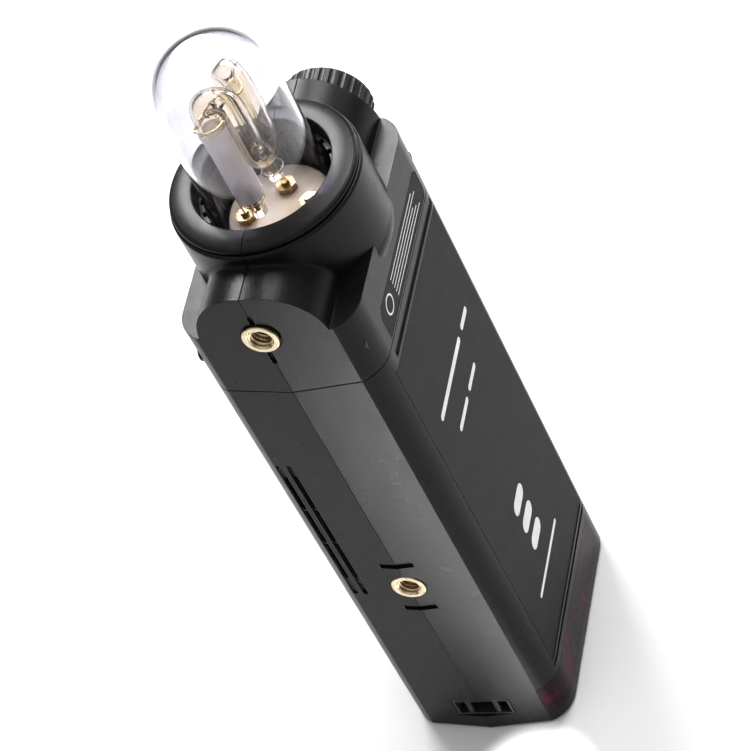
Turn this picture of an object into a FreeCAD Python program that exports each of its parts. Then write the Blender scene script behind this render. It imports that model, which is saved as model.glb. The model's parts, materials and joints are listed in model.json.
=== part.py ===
import FreeCAD, Part
import math
import os
import Sketcher

# A pocket monolight strobe: a flat battery body with its control panel on the bottom end and a
# clip-on head that carries a plug-in bare bulb.
# Frame: +Z runs up the body to the bulb, X is the 75 mm width, Y the 50 mm depth.  The front face
# looks to -Y, the battery to +Y, the tripod threads to -X and the clamp knob to +X.

os.makedirs("parts", exist_ok=True)
doc = FreeCAD.newDocument("monolight")
sheet = doc.addObject("Spreadsheet::Sheet", "Sizes")


# ---------------------------------------------------------------- driving dimensions

class Size:
    """A length in millimetres with its value and its spreadsheet formula."""

    def __init__(self, value, formula):
        self.value = float(value)
        self.formula = formula

    def __add__(self, other):
        return Size(value_of(self) + value_of(other), f"({self.formula} + {formula_of(other)})")

    def __radd__(self, other):
        return Size(value_of(other) + value_of(self), f"({formula_of(other)} + {self.formula})")

    def __sub__(self, other):
        return Size(value_of(self) - value_of(other), f"({self.formula} - {formula_of(other)})")

    def __rsub__(self, other):
        return Size(value_of(other) - value_of(self), f"({formula_of(other)} - {self.formula})")

    def __mul__(self, factor):
        return Size(self.value * factor, f"({self.formula} * {formula_of(factor)})")

    def __truediv__(self, factor):
        return Size(self.value / factor, f"({self.formula} / {formula_of(factor)})")

    def __neg__(self):
        return Size(-self.value, f"(0 - {self.formula})")


def value_of(number):
    return number.value if isinstance(number, Size) else float(number)


def formula_of(number):
    return number.formula if isinstance(number, Size) else f"{float(number):.6f}"


rows_used = []


def size(alias, value):
    """Put one driving dimension in the sheet and return it as a Size."""
    rows_used.append(alias)
    row = len(rows_used)
    sheet.set(f"A{row}", alias)
    sheet.set(f"B{row}", str(value))
    sheet.setAlias(f"B{row}", alias)
    return Size(value, f"Sizes.{alias}")


# body envelope: two narrow facets per side meet at a ridge, each corner is one round
half_width = size("half_width", 37.5)
half_depth = size("half_depth", 25.0)
corner_round = size("corner_round", 10.5)
wall = size("wall", 2.2)
split_gap = size("split_gap", 0.08)
seam_gap = size("seam_gap", 0.3)
body_top = size("body_top", 167.85)
rim_round = size("rim_round", 1.4)
CREASE_ANGLE = 25.35

# front face
panel_half = size("panel_half", 28.5)
panel_low = size("panel_low", 22.8)
panel_high = size("panel_high", 162.0)
panel_thick = size("panel_thick", 1.0)
window_low = size("window_low", 4.5)
window_high = size("window_high", 17.5)
window_thick = size("window_thick", 1.6)
strip_low = size("strip_low", 163.0)
strip_high = size("strip_high", 165.6)

# tripod threads, 1/4 inch
thread_radius = size("thread_radius", 3.175)
insert_barrel = size("insert_barrel", 4.3)
insert_flange = size("insert_flange", 5.0)
insert_length = size("insert_length", 7.0)
body_insert_level = size("body_insert_level", 76.5)
head_insert_level = size("head_insert_level", 190.8)

# control end
deck_low = size("deck_low", 2.6)
deck_high = size("deck_high", 5.0)
dial_centre = size("dial_centre", 19.0)
dial_row = size("dial_row", -3.0)
dial_radius = size("dial_radius", 10.4)
set_radius = size("set_radius", 4.5)
key_row = size("key_row", 14.6)
key_pitch = size("key_pitch", 9.2)
key_first = size("key_first", -27.0)
screen_left = size("screen_left", -29.0)
screen_right = size("screen_right", 4.4)
screen_front = size("screen_front", -18.0)
screen_back = size("screen_back", 7.6)

# battery bay in the back face
bay_half = size("bay_half", 28.4)
bay_low = size("bay_low", 20.0)
bay_high = size("bay_high", 104.4)
bay_floor = size("bay_floor", 3.2)
bay_gap = size("bay_gap", 0.4)
cell_radius = size("cell_radius", 9.1)
cell_length = size("cell_length", 50.0)

# head
shoulder = size("shoulder", 190.0)
arch_top = size("arch_top", 206.2)
arch_half = size("arch_half", 18.0)
arch_radius = size("arch_radius", 18.1)
barrel_radius = size("barrel_radius", 26.5)
barrel_start = size("barrel_start", 181.5)
ring_radius = size("ring_radius", 25.9)
ring_bore = size("ring_bore", 19.1)
ring_top = size("ring_top", 212.0)
groove_level = size("groove_level", 209.3)
socket_radius = size("socket_radius", 18.9)

# plug-in bulb
base_radius = size("base_radius", 17.2)
base_low = size("base_low", 180.0)
base_step = size("base_step", 193.6)
disc_level = size("disc_level", 199.0)
disc_radius = size("disc_radius", 14.6)
dome_radius = size("dome_radius", 16.5)
dome_wall = size("dome_wall", 1.3)
dome_top = size("dome_top", 256.3)
dome_shoulder = size("dome_shoulder", 12.0)
pin_circle = size("pin_circle", 9.0)
pin_radius = size("pin_radius", 1.0)
tube_radius = size("tube_radius", 3.3)
tube_bore = size("tube_bore", 2.3)
tube_foot = size("tube_foot", 203.5)
tube_bend = size("tube_bend", 241.5)
tube_dip = size("tube_dip", 225.0)

# clamp knob
knob_level = size("knob_level", 187.3)
knob_radius = size("knob_radius", 12.4)
knob_near = size("knob_near", 38.6)
knob_far = size("knob_far", 48.0)
screw_radius = size("screw_radius", 2.5)


# ---------------------------------------------------------------- sketch and feature helpers

PLANES = {"X": ("YZ_Plane", 1), "Y": ("XZ_Plane", -1), "Z": ("XY_Plane", 1)}


def bind(target, path, number):
    """Bind a property to its sheet formula when the number has one."""
    if isinstance(number, Size):
        target.setExpression(path, number.formula)


def new_body(name):
    body = doc.addObject("PartDesign::Body", name)
    body.Label = name
    body.AllowCompound = True
    return body


def place(body, along_x, along_y, along_z, rotation=None):
    """Give a body its Placement, bound to the sheet."""
    base = FreeCAD.Vector(value_of(along_x), value_of(along_y), value_of(along_z))
    body.Placement = FreeCAD.Placement(base, rotation or FreeCAD.Rotation())
    bind(body, ".Placement.Base.x", along_x)
    bind(body, ".Placement.Base.y", along_y)
    bind(body, ".Placement.Base.z", along_z)


def pin_point(sketch, element, point, across, up):
    """Fix one sketch point at (across, up)."""
    for number, kind, axis in ((across, "DistanceX", -2), (up, "DistanceY", -1)):
        if not isinstance(number, Size) and abs(number) < 1e-9:
            sketch.addConstraint(Sketcher.Constraint("PointOnObject", element, point, axis))
            continue
        rule = Sketcher.Constraint(kind, -1, 1, element, point, value_of(number))
        index = sketch.addConstraint(rule)
        bind(sketch, f"Constraints[{index}]", number)


def fix_radius(sketch, element, radius):
    index = sketch.addConstraint(Sketcher.Constraint("Radius", element, value_of(radius)))
    bind(sketch, f"Constraints[{index}]", radius)


def disc(across, up, radius):
    """A circle loop."""
    def draw(sketch):
        centre = FreeCAD.Vector(value_of(across), value_of(up), 0)
        circle = Part.Circle(centre, FreeCAD.Vector(0, 0, 1), value_of(radius))
        element = sketch.addGeometry(circle, False)
        pin_point(sketch, element, 3, across, up)
        fix_radius(sketch, element, radius)
    return draw


def outline(points):
    """A closed loop.  A point (a, b) starts a line, (a, b, radius, turn) starts an arc that
    runs counter-clockwise for turn +1 and clockwise for turn -1."""
    def draw(sketch):
        first = sketch.GeometryCount
        count = len(points)
        ends = []
        for index, point in enumerate(points):
            after = points[(index + 1) % count]
            start = FreeCAD.Vector(value_of(point[0]), value_of(point[1]), 0)
            end = FreeCAD.Vector(value_of(after[0]), value_of(after[1]), 0)
            if len(point) == 2:
                sketch.addGeometry(Part.LineSegment(start, end), False)
                ends.append((1, 2))
                continue
            radius, turn = value_of(point[2]), point[3]
            chord = end - start
            rise = radius - math.sqrt(max(radius ** 2 - chord.Length ** 2 / 4, 0))
            side = FreeCAD.Vector(chord.y, -chord.x, 0).normalize() * (rise * turn)
            middle = (start + end) * 0.5 + side
            if turn > 0:
                sketch.addGeometry(Part.Arc(start, middle, end), False)
                ends.append((1, 2))
            else:
                sketch.addGeometry(Part.Arc(end, middle, start), False)
                ends.append((2, 1))
        for index, point in enumerate(points):
            after = (index + 1) % count
            joined = (first + index, ends[index][1], first + after, ends[after][0])
            sketch.addConstraint(Sketcher.Constraint("Coincident", *joined))
            pin_point(sketch, first + index, ends[index][0], point[0], point[1])
            if len(point) == 4:
                fix_radius(sketch, first + index, point[2])
    return draw


def box(left, low, right, high):
    """A rectangle loop."""
    return outline([(left, low), (right, low), (right, high), (left, high)])


def soft_box(left, low, right, high, radius):
    """A rectangle loop with round corners."""
    return outline([
        (left + radius, low), (right - radius, low, radius, 1),
        (right, low + radius), (right, high - radius, radius, 1),
        (right - radius, high), (left + radius, high, radius, 1),
        (left, high - radius), (left, low + radius, radius, 1),
    ])


def hexagon(across, up, flat):
    """A hexagon loop with the given half width across its flats."""
    reach = value_of(flat) / math.cos(math.pi / 6)
    corners = [math.radians(30 + 60 * step) for step in range(6)]
    return outline([(across + reach * math.cos(a), up + reach * math.sin(a)) for a in corners])


def new_sketch(body, axis, level, loops):
    """A sketch square to the axis at the given level, on the body's own origin plane."""
    role, sign = PLANES[axis]
    support = [item for item in body.Origin.OriginFeatures if item.Role == role][0]
    sketch = body.newObject("Sketcher::SketchObject", "Profile")
    sketch.AttachmentSupport = (support, [""])
    sketch.MapMode = "FlatFace"
    shift = level * sign
    sketch.AttachmentOffset = FreeCAD.Placement(
        FreeCAD.Vector(0, 0, value_of(shift)), FreeCAD.Rotation())
    bind(sketch, ".AttachmentOffset.Base.z", shift)
    for draw in loops:
        draw(sketch)
    return sketch


def extrude(body, kind, axis, level, length, loops):
    feature = body.newObject(f"PartDesign::{kind}", kind)
    feature.Profile = new_sketch(body, axis, level, loops)
    feature.Length = value_of(length)
    bind(feature, "Length", length)
    return feature


def pad(body, axis, low, high, *loops):
    """Add material between two levels along an axis."""
    start = high if axis == "Y" else low
    return extrude(body, "Pad", axis, start, high - low, loops)


def pocket(body, axis, low, high, *loops):
    """Take material away between two levels along an axis."""
    start = low if axis == "Y" else high
    return extrude(body, "Pocket", axis, start, high - low, loops)


def lathe(body, *loops):
    """Revolve a profile drawn in X and Z about the Z axis."""
    feature = body.newObject("PartDesign::Revolution", "Revolution")
    sketch = new_sketch(body, "Y", 0.0, loops)
    feature.Profile = sketch
    feature.ReferenceAxis = (sketch, ["V_Axis"])
    feature.Angle = 360
    return feature


def ring_of(body, feature, count, axis="Z_Axis"):
    """Repeat the last feature round one of the body's own axes."""
    pattern = body.newObject("PartDesign::PolarPattern", "Ring")
    pattern.Originals = [feature]
    axle = [item for item in body.Origin.OriginFeatures if item.Role == axis][0]
    pattern.Axis = (axle, [""])
    pattern.Angle = 360
    pattern.Occurrences = count
    body.Tip = pattern
    return pattern


TO_MINUS_X = FreeCAD.Rotation(FreeCAD.Vector(0, 1, 0), -90)
TO_PLUS_X = FreeCAD.Rotation(FreeCAD.Vector(0, 1, 0), 90)
TO_PLUS_Y = FreeCAD.Rotation(FreeCAD.Vector(1, 0, 0), -90)


# ---------------------------------------------------------------- shared outlines

corner_x = half_width - 11.5
corner_y = half_depth - corner_round
CREASE_COS = math.cos(math.radians(CREASE_ANGLE))
CREASE_SIN = math.sin(math.radians(CREASE_ANGLE))


def crease(inset):
    """The crease where a narrow facet meets the corner round."""
    radius = corner_round - inset
    return corner_x + radius * CREASE_COS, corner_y + radius * CREASE_SIN


def section(inset):
    """The body's cross section, moved in by the inset."""
    ridge = half_width - inset
    flat = half_depth - inset
    radius = corner_round - inset
    far, side = crease(inset)
    return outline([
        (ridge, 0.0), (far, side, radius, 1),
        (corner_x, flat), (-corner_x, flat, radius, 1),
        (-far, side), (-ridge, 0.0),
        (-far, -side, radius, 1), (-corner_x, -flat),
        (corner_x, -flat, radius, 1), (far, -side),
    ])


def keep_half(body, side, low, high):
    """Cut the shell at the ridge and keep the front (-1) or the back (+1) half."""
    reach = half_width + 10
    if side < 0:
        pocket(body, "Z", low, high, box(-reach, -split_gap, reach, half_depth + 10))
    else:
        pocket(body, "Z", low, high, box(-reach, -half_depth - 10, reach, split_gap))


SCREW_SPOTS = [(-22.5, 15.0), (22.5, 15.0), (-22.5, 160.0), (22.5, 160.0)]
HEAD_SCREW_SPOTS = [(-29.5, 178.5), (29.5, 178.5)]
VENT_ROWS = (14.8, 18.0)
VENT_CUTS = ((79.0, 95.8), (96.8, 111.9), (112.9, 128.0))


# ---------------------------------------------------------------- body shells

def body_shell(name, side):
    """One half of the body casing, split at the ridge."""
    body = new_body(name)
    base = pad(body, "Z", 0.0, body_top, section(0.0))
    doc.recompute()
    rim = [f"Edge{index + 1}" for index, edge in enumerate(base.Shape.Edges)
           if edge.BoundBox.ZMax < 0.01]
    fillet = body.newObject("PartDesign::Fillet", "Rim")
    fillet.Base = (base, rim)
    fillet.Radius = rim_round.value
    bind(fillet, "Radius", rim_round)
    pocket(body, "Z", -1.0, body_top - wall, section(wall))
    # opening for the head connector and the slot for the head latch
    pocket(body, "Z", body_top - wall - 1, body_top + 1, box(-16.8, -8.0, 16.8, 8.0),
           box(25.8, -3.6, 33.4, 3.6))
    # strap window
    pocket(body, "X", -half_width - 2, -half_width + 6, box(-9.8, 7.0, 8.4, 15.0))
    # seat of the tripod thread, with the two cross slots beside it
    pad(body, "X", -half_width + 1.5, -half_width + 7.3, disc(0.0, body_insert_level, 7.0))
    pocket(body, "X", -half_width - 2, -half_width + 7.4,
           disc(0.0, body_insert_level, insert_barrel + 0.05))
    pocket(body, "X", -half_width - 2, -half_width + 1.3,
           disc(0.0, body_insert_level, insert_flange + 0.15),
           box(-4.9, body_insert_level + 9.4, 4.9, body_insert_level + 11.5),
           box(-4.9, body_insert_level - 11.6, 4.9, body_insert_level - 9.5))
    # window for the head release button
    pocket(body, "X", half_width - 6, half_width + 2, box(-5.4, 149.6, 5.4, 158.4))
    return body


def body_front_shell():
    body = body_shell("body_front_shell", -1)
    face = -half_depth
    # seat of the smooth front panel, the ridge lines below it and the strip above it
    pocket(body, "Y", face - 1, face + panel_thick + 0.3,
           box(-panel_half, panel_low, panel_half, panel_high))
    pocket(body, "Y", face - 1, face + 0.5, box(-30.0, 20.3, 30.0, 21.6),
           box(-24.4, strip_low, 28.4, strip_high))
    # slot of the sensor window, round both front corners
    side_way = crease(0.0)[1]
    pocket(body, "Z", window_low, window_high,
           box(-half_width - 2, face - 2, half_width + 2, -side_way + 0.1))
    # power switch slot, and the jacks on the +X side
    pocket(body, "X", half_width - 6, half_width + 2, box(-12.4, 28.6, -7.6, 41.4),
           soft_box(-13.2, 50.4, -6.8, 77.6, 1.2))
    # screw bosses reach the parting plane
    for across, up in SCREW_SPOTS:
        pad(body, "Y", face + wall + 0.4, -split_gap, disc(across, up, 2.6))
        pad(body, "Z", up - 1.2, up + 8 if up < 100 else up + 6.5,
            box(across - 1.2, face + wall - 0.4, across + 1.2, face + 5.6))
    pocket(body, "Z", window_low, window_high,
           box(-half_width - 2, face - 2, half_width + 2, face + wall + 0.3))
    pocket(body, "Y", face + 6, 0.0, *[disc(a, u, 1.3) for a, u in SCREW_SPOTS])
    keep_half(body, -1, -1.0, body_top + 1)
    return body


def body_back_shell():
    body = body_shell("body_back_shell", 1)
    face = half_depth
    # battery bay tray
    skin = 1.6
    pad(body, "Y", bay_floor - skin, face - 1,
        box(-bay_half - skin, bay_low - skin, bay_half + skin, bay_high + skin))
    pocket(body, "Y", bay_floor, face + 2, box(-bay_half, bay_low, bay_half, bay_high))
    # block with the track of the battery latch, and the chamber behind it for the spring
    pad(body, "Y", face - 6.6, face - 1, box(-11.0, bay_high + 1.0, 11.0, bay_high + 18.0))
    pocket(body, "Y", face - 1.9, face + 2, box(-9.4, bay_high - 0.2, 9.4, bay_high + 15.8))
    pocket(body, "Y", face - 5.9, face - 1, box(-8.0, bay_high - 0.2, 8.0, bay_high + 11.7))
    # slots in the bay floor for the contact blades
    windows = [box(a - 1.4, 26.0, a + 1.4, 34.0) for a in TERMINALS]
    pocket(body, "Y", 0.0, bay_floor + 1, *windows)
    # vent grooves with three openings in each
    for row in VENT_ROWS:
        pocket(body, "X", -half_width - 1, -half_width + 2.6,
               soft_box(row - 0.8, 71.8, row + 0.8, 134.3, 0.7))
        for low, high in VENT_CUTS:
            pocket(body, "X", -half_width - 1, -half_width + 6, box(row - 0.7, low, row + 0.7, high))
    # screw bosses with counterbores
    for across, up in SCREW_SPOTS:
        pad(body, "Y", split_gap, face - 1.6, disc(across, up, 2.8))
    pocket(body, "Y", 0.0, face + 1, *[disc(a, u, 1.4) for a, u in SCREW_SPOTS])
    pocket(body, "Y", face - 3.0, face + 1, *[disc(a, u, 2.35) for a, u in SCREW_SPOTS])
    keep_half(body, 1, -1.0, body_top + 1)
    return body


def front_panel():
    """The smooth panel let into the front face."""
    body = new_body("front_panel")
    gap = 0.15
    pad(body, "Y", -half_depth + 0.25, -half_depth + 0.25 + panel_thick,
        soft_box(-panel_half + gap, panel_low + gap, panel_half - gap, panel_high - gap, 0.8))
    return body


def sensor_window():
    """The dark red window that wraps both front corners."""
    body = new_body("sensor_window")
    far, side = crease(0.0)
    near = far - 1.82
    flat = half_depth - window_thick
    radius = corner_round - window_thick
    pad(body, "Z", window_low + 0.1, window_high - 0.1, outline([
        (-far, -side, corner_round, 1), (-corner_x, -half_depth),
        (corner_x, -half_depth, corner_round, 1), (far, -side),
        (near, -side, radius, -1), (corner_x, -flat),
        (-corner_x, -flat, radius, -1), (-near, -side),
    ]))
    return body


def strap_anchor():
    """A cup with two bars, let into the -X side for the wrist strap."""
    body = new_body("strap_anchor")
    back = -half_width + 7.6
    pad(body, "X", -half_width + 0.9, back, box(-9.6, 7.2, 8.2, 14.8))
    pocket(body, "X", -half_width - 1, back - 1.2, box(-8.8, 8.0, 7.4, 14.0))
    pad(body, "Z", 7.6, 14.4, soft_box(-half_width + 1.1, 3.0, -half_width + 2.9, 4.8, 0.6))
    pad(body, "Z", 7.6, 14.4, soft_box(-half_width + 1.1, -5.6, -half_width + 2.9, -3.8, 0.6))
    return body


def thread_insert(name, along_x, level):
    """A flanged brass bush with a plain bore at the thread's major diameter."""
    body = new_body(name)
    lathe(body, outline([
        (thread_radius + 0.5, 0.0), (insert_flange - 0.2, 0.0), (insert_flange, -0.2),
        (insert_flange, -1.2), (insert_barrel, -1.2), (insert_barrel, -insert_length),
        (thread_radius, -insert_length), (thread_radius, -0.5),
    ]))
    place(body, along_x, 0.0, level, TO_MINUS_X)
    return body


def screw_set(name, spots, head_level, length):
    """Pan-head case screws driven in from the back."""
    body = new_body(name)
    pad(body, "Y", head_level - 1.8, head_level, *[disc(a, u, 2.1) for a, u in spots])
    pad(body, "Y", head_level - length, head_level - 1.8, *[disc(a, u, 1.2) for a, u in spots])
    pocket(body, "Y", head_level - 1.0, head_level + 1, *[hexagon(a, u, 0.8) for a, u in spots])
    return body


# ---------------------------------------------------------------- control end

def key_spots():
    return [key_first + key_pitch * step for step in range(4)]


KEY_HALF_WIDE = 3.4
KEY_HALF_TALL = 2.3
TEST_SPOT = 16.6


def control_panel():
    """The end plate that carries the screen, the dial and the keys."""
    body = new_body("control_panel")
    pad(body, "Z", deck_low, deck_high, section(wall + 0.2))
    clear = 0.3
    wide = KEY_HALF_WIDE + clear
    tall = KEY_HALF_TALL + clear
    pocket(body, "Z", deck_low - 1, deck_high + 1,
           soft_box(screen_left, screen_front, screen_right, screen_back, 1.0),
           disc(dial_centre, dial_row, dial_radius + 0.3),
           disc(dial_centre, TEST_SPOT - 2.0, 3.2 + clear),
           *[soft_box(a - wide, key_row - tall, a + wide, key_row + tall, 0.9)
             for a in key_spots()])
    return body


def lcd_lens():
    body = new_body("lcd_lens")
    gap = 0.1
    pad(body, "Z", deck_low + 0.2, deck_high - 0.6,
        soft_box(screen_left + gap, screen_front + gap, screen_right - gap, screen_back - gap, 0.9))
    return body


def lcd_module():
    body = new_body("lcd_module")
    pad(body, "Z", deck_high - 0.5, deck_high + 3.4,
        box(screen_left + 0.6, screen_front + 0.6, screen_right - 0.6, screen_back - 0.6))
    return body


def select_dial():
    """A ribbed ring with a flange behind the panel."""
    body = new_body("select_dial")
    lathe(body, outline([
        (set_radius + 0.4, 0.9), (dial_radius - 1.6, 0.9), (dial_radius - 0.6, 0.5),
        (dial_radius, 0.9), (dial_radius, deck_high + 0.3), (dial_radius + 1.3, deck_high + 0.3),
        (dial_radius + 1.3, deck_high + 1.3), (set_radius + 0.4, deck_high + 1.3),
    ]))
    notch = pocket(body, "Z", -0.5, deck_low - 0.4, disc(dial_radius + 0.25, 0.0, 0.5))
    ring_of(body, notch, 30)
    place(body, dial_centre, dial_row, 0.0)
    return body


def set_button():
    body = new_body("set_button")
    pad(body, "Z", 0.7, deck_high + 2.6, disc(0.0, 0.0, set_radius))
    pocket(body, "Z", -1.0, 0.95, disc(0.0, 0.0, set_radius - 1.2))
    place(body, dial_centre, dial_row, 0.0)
    return body


def key(name, across):
    """A rectangular key with a flange behind the panel."""
    body = new_body(name)
    wide, tall = KEY_HALF_WIDE, KEY_HALF_TALL
    pad(body, "Z", deck_low - 1.0, deck_high + 0.4,
        soft_box(-wide, -tall, wide, tall, 0.8))
    pad(body, "Z", deck_high + 0.3, deck_high + 1.3,
        box(-wide - 0.8, -tall - 0.8, wide + 0.8, tall + 0.8))
    pad(body, "Z", deck_high + 1.3, deck_high + 2.6, disc(0.0, 0.0, 1.4))
    place(body, across, key_row, 0.0)
    return body


def test_button():
    body = new_body("test_button")
    pad(body, "Z", deck_low - 1.0, deck_high + 0.4, disc(0.0, 0.0, 3.2))
    pad(body, "Z", deck_high + 0.3, deck_high + 1.3, disc(0.0, 0.0, 4.0))
    pad(body, "Z", deck_high + 1.3, deck_high + 2.6, disc(0.0, 0.0, 1.4))
    place(body, dial_centre, TEST_SPOT - 2.0, 0.0)
    return body


def control_board():
    body = new_body("control_board")
    board = deck_high + 5.4
    pad(body, "Z", board, board + 1.2, soft_box(-28.0, -17.0, 31.0, 18.0, 2.0))
    return body


def tact_switches():
    """One small switch under each key, and one under the set button."""
    body = new_body("tact_switches")
    low, high = deck_high + 3.7, deck_high + 5.4
    spots = [(a, key_row - 0.4) for a in key_spots()[1:]]
    spots.append((dial_centre - 6.5, TEST_SPOT - 2.0))
    pad(body, "Z", low, high, *[box(a - 2.0, b - 2.0, a + 2.0, b + 1.6) for a, b in spots])
    return body


def rotary_encoder():
    body = new_body("rotary_encoder")
    low, high = deck_high + 1.7, deck_high + 5.4
    pad(body, "Z", low, high, box(dial_centre - 7.0, -10.0, dial_centre + 7.0, 4.0))
    pocket(body, "Z", low - 1, low + 2.2, disc(dial_centre, dial_row, set_radius + 0.4))
    return body


# ---------------------------------------------------------------- switch and jacks, +X side

def power_switch():
    """The sliding cap of the power switch."""
    body = new_body("power_switch")
    pad(body, "X", half_width - 4.6, half_width + 0.6, soft_box(-12.0, 29.0, -8.0, 36.0, 0.8))
    ridge = [box(-11.2, 30.4 + step, -8.8, 31.0 + step) for step in (0.0, 1.6, 3.2)]
    pocket(body, "X", half_width + 0.1, half_width + 2, *ridge)
    return body


def switch_housing():
    body = new_body("switch_housing")
    pad(body, "X", half_width - 9.0, half_width - 5.0, box(-13.0, 28.0, -7.0, 42.0))
    return body


def usb_port():
    """The metal shell of the USB socket, with its tongue."""
    body = new_body("usb_port")
    low, high = half_width - 9.5, half_width - 2.6
    pad(body, "X", low, high, soft_box(-11.5, 64.0, -8.5, 73.0, 1.2))
    pocket(body, "X", low + 1, high + 1, soft_box(-11.1, 64.4, -8.9, 72.6, 0.9))
    pad(body, "X", low + 0.5, high - 1.2, box(-10.3, 65.4, -9.7, 71.6))
    return body


def sync_jack():
    """The 3.5 mm sync socket."""
    body = new_body("sync_jack")
    low, high = half_width - 12.0, half_width - 2.6
    pad(body, "X", low, high, disc(-10.0, 56.0, 3.0))
    pocket(body, "X", low + 1, high + 1, disc(-10.0, 56.0, 1.8))
    return body


def port_cover():
    """The rubber flap over both sockets, hinged along its lower end."""
    body = new_body("port_cover")
    low = half_width - 1.6
    pad(body, "X", low, half_width - 0.3, soft_box(-12.8, 50.8, -7.2, 77.2, 1.0))
    return body


# ---------------------------------------------------------------- battery

def battery_case():
    """The battery pack's casing; its outer face closes the bay."""
    body = new_body("battery_case")
    side = bay_half - bay_gap
    low, high = bay_low + bay_gap, bay_high - bay_gap
    near, far = bay_floor + bay_gap, half_depth
    pad(body, "Y", near, far, soft_box(-side, low, side, high, 1.5))
    pocket(body, "Y", near + 1.2, far - 1.8,
           box(-side + 1.4, low + 1.4, side - 1.4, high - 4.4))
    # notch for the latch tongue, finger grip and the terminal windows
    pocket(body, "Y", far - 5.0, far - 1.6, box(-8.4, high - 2.6, 8.4, high + 1))
    pocket(body, "Y", far - 0.8, far + 1, soft_box(-14.0, low + 4, 14.0, low + 14, 1.5))
    windows = [box(a - 1.6, 26.0, a + 1.6, 34.0) for a in TERMINALS]
    pocket(body, "Y", near - 1, near + 2, *windows)
    return body


def battery_cells():
    """Four round cells lying across the pack."""
    body = new_body("battery_cells")
    depth = bay_floor + bay_gap + 1.2 + cell_radius + 0.1
    pitch = cell_radius * 2 + 0.4
    first = bay_low + 2.2 + cell_radius
    levels = [first + pitch * step for step in range(4)]
    cells = [disc(depth, z, cell_radius) for z in levels]
    pad(body, "X", -cell_length / 2, cell_length / 2, *cells)
    return body


TERMINALS = (-16.0, -8.0, 8.0, 16.0)


def battery_terminals():
    """Gilt terminal plates at the inner face of the pack."""
    body = new_body("battery_terminals")
    near = bay_floor + bay_gap + 0.6
    pad(body, "Y", near, near + 0.6, *[box(a - 1.5, 26.1, a + 1.5, 33.9) for a in TERMINALS])
    return body


def bay_contacts():
    """Sprung contact blades on the floor of the bay."""
    body = new_body("bay_contacts")
    reach = bay_floor + bay_gap + 0.3
    pad(body, "Y", bay_floor - 3.0, reach, *[box(a - 0.8, 29.0, a + 0.8, 31.0) for a in TERMINALS])
    tails = [box(a - 1.3, 26.2, a + 1.3, 33.8) for a in TERMINALS]
    pad(body, "Y", bay_floor - 3.0, bay_floor - 2.0, *tails)
    return body


def battery_latch():
    """The sliding catch above the battery, with the block that its spring pushes on."""
    body = new_body("battery_latch")
    face = half_depth
    low = bay_high + 0.3
    pad(body, "Y", face - 1.6, face - 0.1, soft_box(-9.0, low, 9.0, low + 11.6, 0.8))
    pad(body, "Y", face - 4.2, face - 1.5, box(-7.6, low, 7.6, low + 4.0))
    grooves = [box(-6.0, low + 3.0 + step, 6.0, low + 3.7 + step) for step in (0.0, 1.6, 3.2, 4.8)]
    pocket(body, "Y", face - 0.5, face + 1, *grooves)
    return body


def spring(name, radius, wire, pitch, length, placement):
    """A coil spring: a round wire swept along a helix."""
    helix = doc.addObject("Part::Helix", f"{name}_path")
    helix.Pitch = value_of(pitch)
    helix.Height = value_of(length)
    helix.Radius = value_of(radius)
    ring = doc.addObject("Part::Circle", f"{name}_wire")
    ring.Radius = value_of(wire)
    ring.Placement = FreeCAD.Placement(
        FreeCAD.Vector(value_of(radius), 0, 0), FreeCAD.Rotation(FreeCAD.Vector(1, 0, 0), 90))
    for target, path, number in ((helix, "Pitch", pitch), (helix, "Height", length),
                                 (helix, "Radius", radius), (ring, "Radius", wire),
                                 (ring, ".Placement.Base.x", radius)):
        bind(target, path, number)
    sweep = doc.addObject("Part::Sweep", name)
    sweep.Label = name
    sweep.Sections = [ring]
    sweep.Spine = (helix, ["Edge1"])
    sweep.Solid = True
    sweep.Frenet = True
    sweep.Placement = placement
    return sweep


# ---------------------------------------------------------------- electronics

def main_board():
    """The circuit board behind the front panel, with its larger packages."""
    body = new_body("main_board")
    pad(body, "Y", -18.4, -16.8, soft_box(-29.0, 24.0, 28.0, 150.0, 1.5))
    packages = [(-14.0, 48.0, 8.0, 8.0), (6.0, 60.0, 6.0, 4.0), (-12.0, 92.0, 5.0, 9.0),
                (12.0, 120.0, 7.0, 7.0)]
    pad(body, "Y", -16.9, -13.6, *[box(a - w, u - t, a + w, u + t) for a, u, w, t in packages])
    return body


def flash_capacitors():
    """Three large photoflash capacitors in the upper half of the body."""
    body = new_body("flash_capacitors")
    spots = [(-19.5, 3.5), (1.0, 3.5), (19.5 + 1.5, 3.5)]
    pad(body, "Z", 109.0, 147.0, *[disc(a, b, 9.6) for a, b in spots])
    pocket(body, "Z", 146.0, 148.0, *[disc(a, b, 7.6) for a, b in spots])
    return body


def charge_transformer():
    """The ferrite transformer of the charging circuit."""
    body = new_body("charge_transformer")
    pad(body, "Z", 78.0, 100.0, box(-11.0, -12.6, 13.0, -1.6))
    pocket(body, "Z", 81.0, 97.0, box(-11.5, -13.0, -8.0, -1.0), box(10.0, -13.0, 13.5, -1.0))
    return body


# ---------------------------------------------------------------- head connection

def head_socket():
    """The connector well in the top of the body."""
    body = new_body("head_socket")
    pad(body, "Z", 157.0, body_top, box(-16.6, -7.8, 16.6, 7.8))
    pocket(body, "Z", 159.6, body_top + 1, box(-15.4, -6.6, 15.4, 6.6))
    return body


CONTACT_SPOTS = [(-10.5 + 7.0 * column, 3.0 * row) for column in range(4) for row in (-1, 1)]


def body_contacts():
    """Sprung contact pins on the floor of the connector well."""
    body = new_body("body_contacts")
    pad(body, "Z", 159.6, 161.2, *[disc(a, b, 0.9) for a, b in CONTACT_SPOTS])
    return body


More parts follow.
